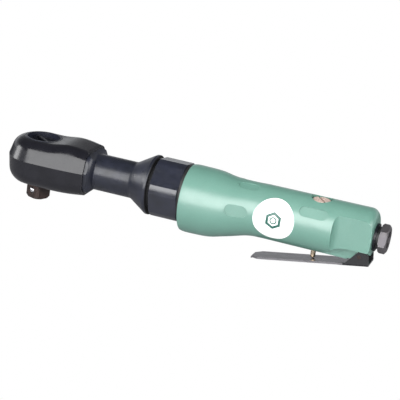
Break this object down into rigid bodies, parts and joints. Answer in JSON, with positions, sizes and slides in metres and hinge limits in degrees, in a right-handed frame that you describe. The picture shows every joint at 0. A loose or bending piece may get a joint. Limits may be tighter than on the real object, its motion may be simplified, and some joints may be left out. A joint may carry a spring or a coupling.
{
  "type": "air ratchet",
  "caption": "Inline air ratchet wrench with a reversible half inch square drive, clamp nut, green air motor grip, regulator screw and hinged throttle lever.",
  "frame": {"origin": "centre of the drive square's end face, on the anvil's axis", "axes": "+X from the head to the air inlet, along the motor; +Z from the drive square up through the reversing knob"},
  "size_m": [0.2745, 0.0472, 0.055],
  "materials": {
    "black_oxide_steel": "satin",
    "blade_fibre": "matte",
    "boot_black": "satin",
    "brass": "satin",
    "bright_steel": "polished",
    "brushed_lever_steel": "brushed",
    "cast_steel": "machined",
    "copper_screw": "satin",
    "gear_steel": "machined",
    "green_paint": "satin",
    "label_white": "satin",
    "rubber": "matte",
    "sintered_bronze": "matte",
    "tool_steel": "satin"
  },
  "bodies": {
    "housing": {"ratchet_housing": "black_oxide_steel", "head_cover": "boot_black", "thrust_plate": "tool_steel", "retaining_ring": "gear_steel", "neck_bush_front": "sintered_bronze", "neck_bush_rear": "sintered_bronze", "ring_gear": "gear_steel", "gear_spacer": "gear_steel", "clamp_nut": "black_oxide_steel", "clamp_washer": "rubber", "front_end_plate": "cast_steel", "rear_end_plate": "cast_steel", "motor_cylinder": "cast_steel", "front_bearing": "bright_steel", "rear_bearing": "bright_steel", "motor_housing": "green_paint", "badge": "label_white", "exhaust_deflector": "black_oxide_steel", "throttle_bushing": "brass", "throttle_seat": "brass", "throttle_spring": "gear_steel", "lever_pin": "tool_steel", "inlet_bushing": "black_oxide_steel", "inlet_screen": "sintered_bronze", "inlet_gasket": "rubber"},
    "rotor": {"rotor": "gear_steel", "rotor_blades": "blade_fibre", "front_bearing_inner_ring": "bright_steel", "rear_bearing_inner_ring": "bright_steel"},
    "crank": {"crankshaft": "gear_steel", "planet_pins": "gear_steel"},
    "planet_1": {"planet_gear_1": "gear_steel"},
    "planet_2": {"planet_gear_2": "gear_steel"},
    "planet_3": {"planet_gear_3": "gear_steel"},
    "bushing": {"drive_bushing": "sintered_bronze"},
    "yoke": {"ratchet_yoke": "gear_steel"},
    "anvil": {"ratchet_anvil": "tool_steel", "pawl_pin": "gear_steel", "detent_spring": "gear_steel"},
    "pawl": {"ratchet_pawl": "gear_steel"},
    "knob": {"reverse_knob": "black_oxide_steel", "plunger_spring": "gear_steel"},
    "plunger": {"reverse_plunger": "gear_steel"},
    "ball": {"detent_ball": "bright_steel"},
    "lever": {"throttle_lever": "brushed_lever_steel"},
    "valve": {"valve_pin": "brass", "throttle_valve": "gear_steel", "valve_oring": "rubber"},
    "regulator": {"air_regulator": "copper_screw", "regulator_oring": "rubber"}
  },
  "joints": [
    {"name": "rotor_spin", "type": "hinge", "parent": "housing", "child": "rotor", "pos_m": [0.141, 0, 0.0283], "axis": [1, 0, 0], "continuous": true},
    {"name": "crank_spin", "type": "hinge", "parent": "housing", "child": "crank", "pos_m": [0.06, 0, 0.0283], "axis": [1, 0, 0], "continuous": true},
    {"name": "planet_1_spin", "type": "hinge", "parent": "crank", "child": "planet_1", "pos_m": [0.103, 0, 0.0364], "axis": [1, 0, 0], "continuous": true},
    {"name": "planet_2_spin", "type": "hinge", "parent": "crank", "child": "planet_2", "pos_m": [0.103, -0.00702, 0.02425], "axis": [1, 0, 0], "continuous": true},
    {"name": "planet_3_spin", "type": "hinge", "parent": "crank", "child": "planet_3", "pos_m": [0.103, 0.00702, 0.02425], "axis": [1, 0, 0], "continuous": true},
    {"name": "bushing_spin", "type": "hinge", "parent": "crank", "child": "bushing", "pos_m": [0.0205, 0, 0.03044], "axis": [1, 0, 0], "continuous": true},
    {"name": "yoke_rock", "type": "hinge", "parent": "housing", "child": "yoke", "pos_m": [0, 0, 0.0283], "axis": [0, 0, 1], "range_deg": [-6, 6]},
    {"name": "anvil_spin", "type": "hinge", "parent": "housing", "child": "anvil", "pos_m": [0, 0, 0.0283], "axis": [0, 0, 1], "continuous": true},
    {"name": "reverse_knob_turn", "type": "hinge", "parent": "anvil", "child": "knob", "pos_m": [0, 0, 0.0383], "axis": [0, 0, 1], "range_deg": [-35, 35]},
    {"name": "pawl_rock", "type": "hinge", "parent": "anvil", "child": "pawl", "pos_m": [0.008, 0, 0.0283], "axis": [0, 0, 1], "range_deg": [-6.4, 6.4]},
    {"name": "reverse_plunger_slide", "type": "slide", "parent": "knob", "child": "plunger", "axis": [1, 0, 0], "range_m": [-0.0005, 0], "stiffness_N_per_m": 400, "springref_m": 0.0005, "deforming": ["plunger_spring"]},
    {"name": "detent_ball_slide", "type": "slide", "parent": "anvil", "child": "ball", "axis": [-0.4003, -0.9164, 0], "range_m": [-0.0009, 0], "stiffness_N_per_m": 800, "springref_m": 0.0005, "deforming": ["detent_spring"]},
    {"name": "lever_press", "type": "hinge", "parent": "housing", "child": "lever", "pos_m": [0.2355, 0, 0.0147], "axis": [0, 1, 0], "range_deg": [0, 8.5], "stiffness_Nm_per_rad": 0.12, "springref_deg": -20.05},
    {"name": "valve_slide", "type": "slide", "parent": "housing", "child": "valve", "axis": [0, 0, 1], "range_m": [0, 0.0054], "deforming": ["throttle_spring"]},
    {"name": "regulator_turn", "type": "hinge", "parent": "housing", "child": "regulator", "pos_m": [0.203, 0, 0.0403], "axis": [0, 0, 1], "range_deg": [-90, 90]}
  ],
  "couplings": [
    {"joint": "crank_spin", "follows": "rotor_spin", "ratio": 0.22222},
    {"joint": "planet_1_spin", "follows": "rotor_spin", "ratio": -0.62222},
    {"joint": "planet_2_spin", "follows": "rotor_spin", "ratio": -0.62222},
    {"joint": "planet_3_spin", "follows": "rotor_spin", "ratio": -0.62222},
    {"joint": "pawl_rock", "follows": "reverse_knob_turn", "ratio": -0.18286},
    {"joint": "valve_slide", "follows": "lever_press", "m_per_rad": 0.0344}
  ]
}
